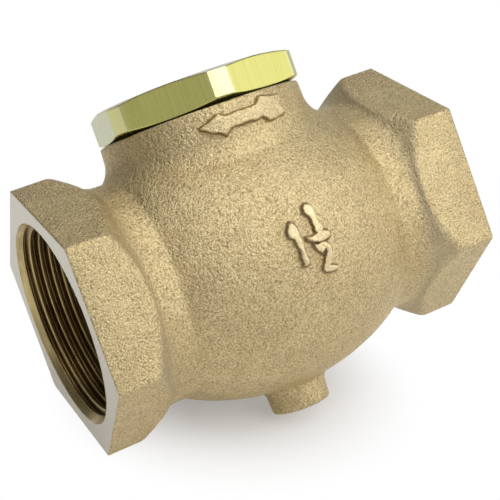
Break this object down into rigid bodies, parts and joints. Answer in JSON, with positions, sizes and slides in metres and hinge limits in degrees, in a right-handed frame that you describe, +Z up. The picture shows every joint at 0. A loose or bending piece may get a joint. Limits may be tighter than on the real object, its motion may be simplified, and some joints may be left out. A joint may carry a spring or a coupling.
{
  "type": "lift check valve",
  "caption": "Screwed lift check valve for a pipe: cast globe body with hexagonal threaded ends, thin hexagonal screw cap, guided disc on a screwed seat ring.",
  "frame": {"origin": "where the cap's axis crosses the pipe axis, halfway between the end faces", "axes": "+X along the pipe from the outlet to the inlet, +Z up through the cap, -Y towards the side with the cast marks"},
  "size_m": [0.099, 0.0686, 0.0824],
  "materials": {
    "cast_bronze": "sand cast, ends machined",
    "turned_brass": "turned",
    "cap_brass": "milled and turned, bright",
    "sealing_fibre": "matte",
    "soft_disc": "matte",
    "stainless_steel": "bright"
  },
  "bodies": {
    "housing": {"body": "cast_bronze", "seat_ring": "turned_brass", "cap": "cap_brass", "cap_seal": "sealing_fibre"},
    "disc": {"disc_holder": "turned_brass", "seat_disc": "soft_disc", "disc_plate": "turned_brass", "lock_washer": "stainless_steel", "disc_nut": "turned_brass"}
  },
  "joints": [
    {"name": "disc_lift", "type": "slide", "parent": "housing", "child": "disc", "axis": [0, 0, 1], "range_m": [0, 0.0075]}
  ]
}
